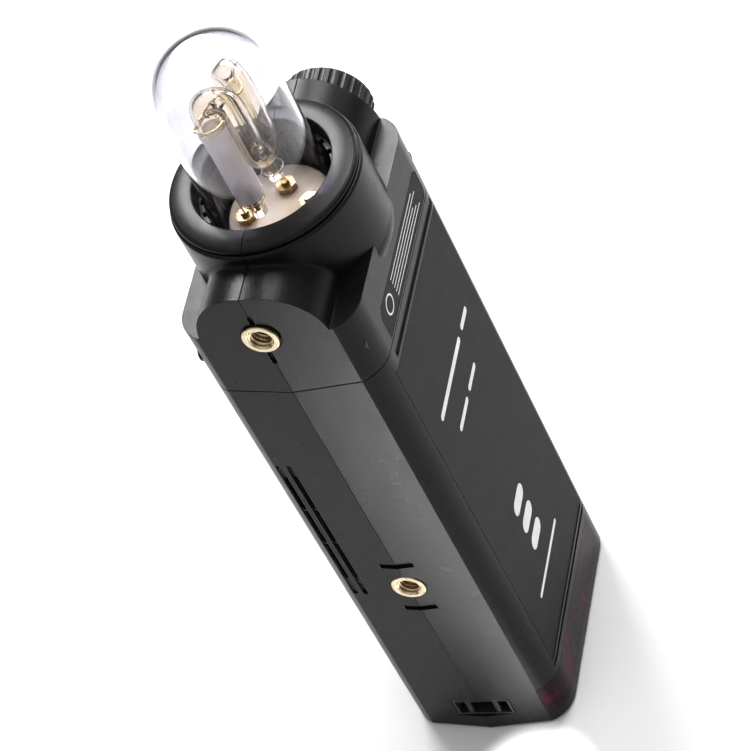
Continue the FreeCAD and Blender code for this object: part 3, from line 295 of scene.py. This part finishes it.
def revolve(profile, centre, steps=96):
    """Turn a closed profile of (radius, height) points about the upright axis through the centre."""
    mesh = bpy.data.meshes.new("turned")
    build = bmesh.new()
    angles = [2 * math.pi * step / steps for step in range(steps)]
    rings = []
    for radius, height in profile:
        if radius < ON_AXIS:
            rings.append([build.verts.new(Vector((0, 0, height)) + centre)])
            continue
        rings.append([build.verts.new(
            Vector((radius * math.cos(angle), radius * math.sin(angle), height)) + centre)
            for angle in angles])
    for lower, upper in zip(rings, rings[1:] + rings[:1]):
        if len(lower) == 1 and len(upper) == 1:
            continue
        for step in range(steps):
            after = (step + 1) % steps
            corners = [lower[step % len(lower)], lower[after % len(lower)],
                       upper[after % len(upper)], upper[step % len(upper)]]
            build.faces.new(list(dict.fromkeys(corners)))
    bmesh.ops.recalc_face_normals(build, faces=build.faces)
    build.to_mesh(mesh)
    build.free()
    return mesh


def arc(centre, radius, start, end, steps):
    """Points on an arc in the (radius, height) plane, angles in degrees."""
    points = []
    for step in range(steps + 1):
        angle = math.radians(start + (end - start) * step / steps)
        points.append((centre[0] + radius * math.cos(angle), centre[1] + radius * math.sin(angle)))
    return points


def ladder(radius, low, high, steps=12):
    """Points up a straight wall, closer together at its ends so that its shading stays true."""
    places = [0.0, 0.008] + [step / steps for step in range(1, steps)] + [0.992, 1.0]
    return [(radius, low + (high - low) * place) for place in places]


def along(points, radius, steps=20):
    """Sweep a round section along a path, keeping its frame from twisting.
    radius may be a function of the place along the path, from 0 to 1."""
    mesh = bpy.data.meshes.new("swept")
    build = bmesh.new()
    width = radius if callable(radius) else (lambda place: radius)
    count = len(points)
    heading = (points[1] - points[0]).normalized()
    across = heading.orthogonal().normalized()
    rings = []
    for index, point in enumerate(points):
        before, after = points[max(index - 1, 0)], points[min(index + 1, count - 1)]
        following = (after - before).normalized()
        across = heading.rotation_difference(following) @ across
        heading = following
        side = heading.cross(across)
        size = width(index / (count - 1))
        rings.append([build.verts.new(point + (across * math.cos(a) + side * math.sin(a)) * size)
                      for a in (2 * math.pi * step / steps for step in range(steps))])
    for lower, upper in zip(rings, rings[1:]):
        for step in range(steps):
            after = (step + 1) % steps
            build.faces.new([lower[step], lower[after], upper[after], upper[step]])
    build.faces.new(list(reversed(rings[0])))
    build.faces.new(rings[-1])
    bmesh.ops.recalc_face_normals(build, faces=build.faces)
    build.to_mesh(mesh)
    build.free()
    return mesh


def smooth_path(points, per_span=10):
    """A Catmull-Rom curve through the points."""
    knots = [points[0]] + list(points) + [points[-1]]
    path = []
    for a, b, c, d in zip(knots, knots[1:], knots[2:], knots[3:]):
        for step in range(per_span):
            u = step / per_span
            path.append(0.5 * (2 * b + (c - a) * u + (2 * a - 5 * b + 4 * c - d) * u ** 2
                               + (3 * b - a - 3 * c + d) * u ** 3))
    path.append(points[-1])
    return path


# ---------------------------------------------------------------- bulb: glass, tube and wires

dome_low, dome_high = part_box("glass_dome")
DOME_RADIUS = (dome_high.x - dome_low.x) / 2


def glass_cover():
    """The dome with a thicker crown, a flat top and a fire-polished foot."""
    skin, shoulder = 1.25 * MM, 11.6 * MM
    crown = DOME_RADIUS - shoulder
    top = dome_high.z
    inner_top = top - 2.6 * MM
    rise = 13.4 * MM
    outer = [(radius, top - rise + height * rise / shoulder)
             for radius, height in arc((crown, 0.0), shoulder, 0, 90, 22)]
    inner_round = shoulder - skin - 0.6 * MM
    inner = [(radius, inner_top - rise + 0.8 * MM + height * (rise - 0.8 * MM) / inner_round)
             for radius, height in arc((DOME_RADIUS - skin - inner_round, 0.0), inner_round,
                                       0, 90, 22)]
    foot = dome_low.z
    profile = [(DOME_RADIUS - skin * 0.8, foot), (DOME_RADIUS - skin * 0.2, foot)]
    profile += ladder(DOME_RADIUS, foot + 0.4 * MM, top - rise)[:-1]
    profile += outer + [(2.0 * MM, top), (0.0, top), (0.0, inner_top), (2.0 * MM, inner_top)]
    profile += list(reversed(inner))
    profile += list(reversed(ladder(DOME_RADIUS - skin, foot + 0.4 * MM,
                                    inner_top - rise + 0.8 * MM)[:-1]))
    mesh = revolve(profile, Vector((0, 0, 0)), 128)
    piece = finish_piece("dome", mesh, "dome_glass", "bulb", 60.0)
    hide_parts("glass_dome")


LEGS = [Vector((-5.6, 2.5, 0)) * MM, Vector((-5.0, -4.7, 0)) * MM,
        Vector((1.9, -5.5, 0)) * MM, Vector((6.6, 0.5, 0)) * MM]
tube_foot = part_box("flash_tube")[0].z
TUBE_RADIUS = 3.3 * MM
TUBE_WALL = 0.95 * MM
SEAL = 1.6 * MM
BEND_LEVEL = 241.5 * MM
DIP_LEVEL = 225.0 * MM


def bend_points(start, end, level, upwards, steps=16):
    middle, half = (start + end) / 2, (end - start) / 2
    points = []
    for step in range(steps + 1):
        angle = math.pi * step / steps
        lift = math.sin(angle) * half.length * (1 if upwards else -1)
        points.append(middle - half * math.cos(angle) + Vector((0, 0, level + lift)))
    return points


def tube_path(foot):
    path = [LEGS[0] + Vector((0, 0, foot + (BEND_LEVEL - foot) * step / 24)) for step in range(24)]
    path += bend_points(LEGS[0], LEGS[1], BEND_LEVEL, True)
    path += bend_points(LEGS[1], LEGS[2], DIP_LEVEL, False)
    path += bend_points(LEGS[2], LEGS[3], BEND_LEVEL, True)
    path += [LEGS[3] + Vector((0, 0, BEND_LEVEL + (foot - BEND_LEVEL) * step / 24))
             for step in range(1, 25)]
    return path


def quartz_tube():
    """The flash tube: a hollow quartz rod, necked a little at both sealed feet."""

    def outside(place):
        near_end = min(place, 1 - place)
        return TUBE_RADIUS * (0.66 + 0.34 * min(1.0, max(0.0, near_end - 0.03) / 0.03))

    def inside(place):
        return outside(place) - TUBE_WALL

    shell = along(tube_path(tube_foot), outside, 36)
    hollow = along(tube_path(tube_foot + SEAL), inside, 36)
    hollow.flip_normals()
    build = bmesh.new()
    build.from_mesh(shell)
    build.from_mesh(hollow)
    build.to_mesh(shell)
    build.free()
    piece = finish_piece("quartz_tube", shell, "quartz", "bulb", 70.0)
    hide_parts("flash_tube")


glass_cover()
quartz_tube()


def tube_sleeve():
    """The quartz sleeve fused round the first leg, with a rolled rim at each end; its half-white
    frost is partly painted highlight, standing in for the bright reflection on this leg.
    """
    foot, head = 210.5 * MM, 236.5 * MM
    radius, wall = 3.85 * MM, 0.35 * MM
    profile = [(radius - wall / 2, foot - 0.2 * MM)] + ladder(radius, foot, head)
    profile += [(radius - wall / 2, head + 0.2 * MM)]
    profile += list(reversed(ladder(radius - wall, foot, head)))
    mesh = revolve(profile, LEGS[0], 64)
    finish_piece("leg_sleeve", mesh, "sleeve_frost_painted_highlight", "bulb")


def leg_collar(name, leg, level, radius, thick):
    """A fused ring round a leg."""
    profile = arc((radius, level), thick, 0, 330, 11)
    mesh = revolve(profile, LEGS[leg], 48)
    finish_piece(name, mesh, "quartz", "bulb", 60.0)


def lead(name, points, radius, body="bulb", slot="trigger_nickel"):
    """A thin bent wire."""
    mesh = along(smooth_path([Vector(point) * MM for point in points], 8), radius, 12)
    return finish_piece(name, mesh, slot, body, 60.0)


def ring_about(centre, radius, level, start=0.0, turn=360.0, steps=14):
    """Points in millimetres on a level circle."""
    points = []
    for step in range(steps + 1):
        angle = math.radians(start + turn * step / steps)
        points.append((centre[0] / MM + radius * math.cos(angle),
                       centre[1] / MM + radius * math.sin(angle), level))
    return points


def trigger():
    """The trigger wire: up from its terminal, round leg 1, across to leg 4 and round it."""
    loops = [(-3.3, 8.4, 202.0), (-4.2, 7.9, 209.0), (-4.9, 6.9, 218.0), (-5.2, 6.5, 232.0)]
    loops += ring_about(LEGS[0], 3.75, 238.5, 90.0, -330.0)
    loops += [(-1.4, 2.2, 240.2), (0.5, 1.4, 240.8), (2.6, 0.9, 240.0)]
    loops += ring_about(LEGS[3], 3.75, 237.5, 170.0, -350.0)
    wire = lead("trigger_lead", loops, 0.30 * MM)
    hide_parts("trigger_wire")


def thread(name, middle, radius, pitch, length, body):
    """The thread ridge inside a tripod insert: a thin helix on the bore's wall."""
    turns, per_turn = length / pitch, 40
    points = []
    for step in range(int(turns * per_turn) + 1):
        angle = 2 * math.pi * step / per_turn
        points.append(Vector((middle[0] + step / per_turn * pitch,
                              middle[1] + radius * math.cos(angle),
                              middle[2] + radius * math.sin(angle))) * MM)
    mesh = along(points, 0.34 * MM, 8)
    finish_piece(name, mesh, "insert_brass", body, 30.0)


def plate(name, corners, plane, axis, thick, slot, body):
    """A thin flat piece from its outline; axis 1 stands it on an XZ face, 2 on an XY face."""
    mesh = bpy.data.meshes.new(name)
    build = bmesh.new()
    for offset in (0.0, thick):
        ring = []
        for first, second in corners:
            spot = [first, second]
            spot.insert(axis, plane + offset)
            ring.append(build.verts.new(Vector(spot) * MM))
        build.faces.new(ring)
    build.verts.ensure_lookup_table()
    count = len(corners)
    for step in range(count):
        after = (step + 1) % count
        build.faces.new([build.verts[step], build.verts[after],
                         build.verts[count + after], build.verts[count + step]])
    bmesh.ops.recalc_face_normals(build, faces=build.faces)
    build.to_mesh(mesh)
    build.free()
    return finish_piece(name, mesh, slot, body, 0)


def bar(left, low, right, high, steps=6):
    """The outline of a bar with round ends, in millimetres."""
    radius = min(right - left, high - low) / 2
    points = []
    for x, z, start in ((right - radius, high - radius, 0), (left + radius, high - radius, 90),
                        (left + radius, low + radius, 180), (right - radius, low + radius, 270)):
        for step in range(steps + 1):
            angle = math.radians(start + 90 * step / steps)
            points.append((x + radius * math.cos(angle), z + radius * math.sin(angle)))
    return points


def loop_plate(name, centre, outer, inner, plane, thick, slot, body, axis=1):
    """A flat printed ring."""
    mesh = bpy.data.meshes.new(name)
    build = bmesh.new()
    rings = []
    for radius, offset in ((outer, 0.0), (outer, thick), (inner, thick), (inner, 0.0)):
        ring = []
        for step in range(48):
            angle = 2 * math.pi * step / 48
            spot = [centre[0] + radius * math.cos(angle), centre[1] + radius * math.sin(angle)]
            spot.insert(axis, plane + offset)
            ring.append(build.verts.new(Vector(spot) * MM))
        rings.append(ring)
    for lower, upper in zip(rings, rings[1:] + rings[:1]):
        for step in range(48):
            after = (step + 1) % 48
            build.faces.new([lower[step], lower[after], upper[after], upper[step]])
    bmesh.ops.recalc_face_normals(build, faces=build.faces)
    build.to_mesh(mesh)
    build.free()
    return finish_piece(name, mesh, slot, body, 0)


def printed_marks():
    """Plain bars and rings where such a unit carries its printing; they spell nothing."""
    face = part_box("front_panel")[0].y / MM
    skin = -0.03
    rows = [(-19.6, 128.0, 8.6, 130.2), (11.4, 128.0, 19.2, 130.2),
            (-13.6, 115.2, -2.2, 117.2), (0.2, 115.2, 9.6, 117.2), (-17.8, 39.0, 10.0, 40.6)]
    for count, (left, low, right, high) in enumerate(rows):
        plate(f"print_bar_{count}", bar(left, low, right, high), face, 1, skin,
              "print_white", "flash_body")
    for count, (level, reach) in enumerate(((52.0, 5.2), (60.5, 5.2), (69.0, 5.2))):
        plate(f"print_chip_{count}", bar(-3.5 - reach, level - 2.6, -3.5 + reach, level + 2.6),
              face, 1, skin, "print_white", "flash_body")
    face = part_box("label_plate")[0].y / MM
    for count in range(5):
        level = 170.3 + 1.55 * count
        right = 22.0 - 2.2 * (count % 3)
        plate(f"label_line_{count}", bar(-9.6, level, right, level + 0.4), face, 1, -0.02,
              "print_white", "head_unit")
    loop_plate("label_ring", (-15.4, 174.0), 2.9, 2.3, face, -0.02, "print_white", "head_unit")


def screen_content():
    """Blank indicator bars on the display."""
    module_low, module_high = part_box("lcd_module")
    face = module_low.z / MM
    left, right = module_low.x / MM + 3.0, module_high.x / MM - 3.0
    near, far = module_low.y / MM + 3.0, module_high.y / MM - 3.0
    for count in range(9):
        start = left + (right - left) * count / 9
        plate(f"screen_step_{count}", bar(start, far - 2.6, start + 2.0, far - 0.6), face, 2,
              -0.03, "screen_ink", "flash_body")
    plate("screen_rule", bar(left, near + 7.6, right, near + 8.0), face, 2, -0.03,
          "screen_ink", "flash_body")
    for count, reach in enumerate((0.45, 0.75, 0.6)):
        level = near + 1.0 + 2.1 * count
        plate(f"screen_row_{count}", bar(left, level, left + (right - left) * reach, level + 0.9),
              face, 2, -0.03, "screen_ink", "flash_body")


def key_marks():
    """A small white mark on each key."""
    keys = (("mode_button", "mode_key"), ("group_button", "group_key"),
            ("menu_button", "menu_key"), ("sync_button", "sync_key"))
    for count, (node, body) in enumerate(keys):
        key_low, key_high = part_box(node)
        middle = (key_low + key_high) / 2 / MM
        for step in range(count + 1):
            shift = (step - count / 2) * 1.1
            plate(f"key_dot_{count}_{step}",
                  bar(middle.x + shift - 0.35, middle.y - 0.8, middle.x + shift + 0.35,
                      middle.y + 0.8),
                  key_low.z / MM, 2, -0.02, "print_white", body)
    key_low, key_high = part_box("set_button")
    middle = (key_low + key_high) / 2 / MM
    loop_plate("set_ring", (middle.x, middle.y), 1.9, 1.5, key_low.z / MM, -0.02,
               "print_white", "set_key", axis=2)


FINISHES["print_white"] = surface("print_white", rgb(0.8, 0.8, 0.79), 0.5, grain=3000.0,
                                  relief=0.1, depth=0.01 * MM, wear=0.06, edge=0.01 * MM)
FINISHES["screen_ink"] = surface("screen_ink", rgb(0.03, 0.035, 0.04), 0.5, grain=3000.0,
                                 relief=0.05, depth=0.01 * MM, edge=0.01 * MM)
# Half-diffuse white glass: partly painted highlight, the bright reflection on the first leg put into
# the sleeve's own colour.
sleeve_frost_with_painted_highlight = clear("sleeve_frost_painted_highlight", rgb(0.97, 0.97, 0.98), 1.46, 0.12, 0.1)
sleeve_frost_with_painted_highlight.feed(sleeve_frost_with_painted_highlight.shader.inputs["Roughness"], sleeve_frost_with_painted_highlight.remap(sleeve_frost_with_painted_highlight.noise(60.0), 0.2, 0.4))
sleeve_frost_with_painted_highlight.feed(sleeve_frost_with_painted_highlight.shader.inputs["Transmission Weight"], 0.55)
FINISHES["sleeve_frost_painted_highlight"] = sleeve_frost_with_painted_highlight

tube_sleeve()
leg_collar("collar_low", 0, 208.5 * MM, 2.9 * MM, 0.35 * MM)
leg_collar("collar_far_top", 3, 217.0 * MM, 3.2 * MM, 0.4 * MM)
leg_collar("collar_far_low", 3, 206.5 * MM, 3.0 * MM, 0.35 * MM)
trigger()
thread("body_thread_ridge", (-37.0, 0.0, 76.5), 3.05, 1.27, 5.6, "flash_body")
thread("head_thread_ridge", (-37.7, 0.0, 190.8), 3.05, 1.27, 5.6, "head_unit")
printed_marks()
screen_content()
key_marks()


# ---------------------------------------------------------------- floor, light and camera

def floor_material():
    nodes = Nodes("paper")
    nodes.feed(nodes.shader.inputs["Base Color"],
               nodes.blend(nodes.noise(3.0), rgb(0.86, 0.86, 0.86), rgb(0.88, 0.88, 0.88)))
    nodes.feed(nodes.shader.inputs["Roughness"], 0.9)
    nodes.feed(nodes.shader.inputs["Normal"], nodes.bump(nodes.noise(900.0), 0.05, 0.05 * MM))
    return nodes.material


def floor():
    mesh = bpy.data.meshes.new("floor")
    reach = 6.0
    corners = [(-reach, -reach, 0), (reach, -reach, 0), (reach, reach, 0), (-reach, reach, 0)]
    mesh.from_pydata(corners, [], [(0, 1, 2, 3)])
    mesh.materials.append(floor_material())
    plane = bpy.data.objects.new("floor", mesh)
    bpy.context.collection.objects.link(plane)


def softbox(name, place, aim, width, height, power):
    """A rectangular light that looks at the aim point."""
    light = bpy.data.lights.new(name, "AREA")
    light.shape = "RECTANGLE"
    light.size = width
    light.size_y = height
    light.energy = power
    lamp = bpy.data.objects.new(name, light)
    bpy.context.collection.objects.link(lamp)
    lamp.location = place
    lamp.rotation_mode = "QUATERNION"
    lamp.rotation_quaternion = (Vector(aim) - Vector(place)).to_track_quat("-Z", "Y")


def surroundings():
    """A studio: bright ceiling, grey walls."""
    world = bpy.data.worlds.new("studio")
    bpy.context.scene.world = world
    world.use_nodes = True
    tree = world.node_tree
    place = tree.nodes.new("ShaderNodeTexCoord")
    apart = tree.nodes.new("ShaderNodeSeparateXYZ")
    fade = tree.nodes.new("ShaderNodeMapRange")
    tree.links.new(place.outputs["Generated"], apart.inputs[0])
    tree.links.new(apart.outputs["Z"], fade.inputs["Value"])
    for socket, value in zip(("From Min", "From Max", "To Min", "To Max"), (0.15, 0.8, 0.2, 0.9)):
        fade.inputs[socket].default_value = value
    tree.links.new(fade.outputs["Result"], tree.nodes["Background"].inputs["Strength"])
    tree.nodes["Background"].inputs["Color"].default_value = (1, 1, 1, 1)


def camera():
    data = bpy.data.cameras.new("camera")
    data.lens = 143.75
    data.sensor_width = 36.0
    data.clip_start = 0.01
    data.clip_end = 60.0
    eye = bpy.data.objects.new("camera", data)
    bpy.context.collection.objects.link(eye)
    right = Vector((0.18167, -0.92473, -0.33448))
    up = Vector((0.79568, -0.06163, 0.60257))
    ahead = Vector((0.57782, 0.37561, -0.72459))
    turn = Matrix((right, up, -ahead)).transposed()
    eye.rotation_mode = "QUATERNION"
    eye.rotation_quaternion = turn.to_quaternion()
    eye.location = Vector((-477.54, -310.85, 724.52)) * MM
    bpy.context.scene.camera = eye


def pool(name, middle, radius, reach, power):
    """A narrow spot that brightens a round patch of the floor beside the narrow side."""
    light = bpy.data.lights.new(name, "SPOT")
    light.spot_size = 2 * math.atan(radius / reach)
    light.spot_blend = 0.35
    light.shadow_soft_size = 0.01
    light.energy = power
    lamp = bpy.data.objects.new(name, light)
    bpy.context.collection.objects.link(lamp)
    lamp.location = (middle[0], middle[1], reach)


floor()
surroundings()
softbox("key", (0.46, -0.12, 0.80), (0, 0, 0.14), 0.32, 0.3, 3.6)
softbox("back", (0.62, 0.40, 0.78), (0, 0, 0.2), 0.36, 0.32, 8.0)
softbox("right", (0.95, -0.45, 0.42), (0, 0, 0.15), 0.25, 0.4, 3.0)
for count, height in enumerate((20, 45, 75, 110, 150, 190)):
    pool(f"pool_{count}", ((-38 - 0.888 * height) * MM, (-22 + 0.28 * height) * MM),
         (9 + 0.19 * height) * MM, 0.7, 105.0)
camera()

bpy.context.scene.view_settings.view_transform = "Standard"
bpy.context.scene.view_settings.gamma = 0.8
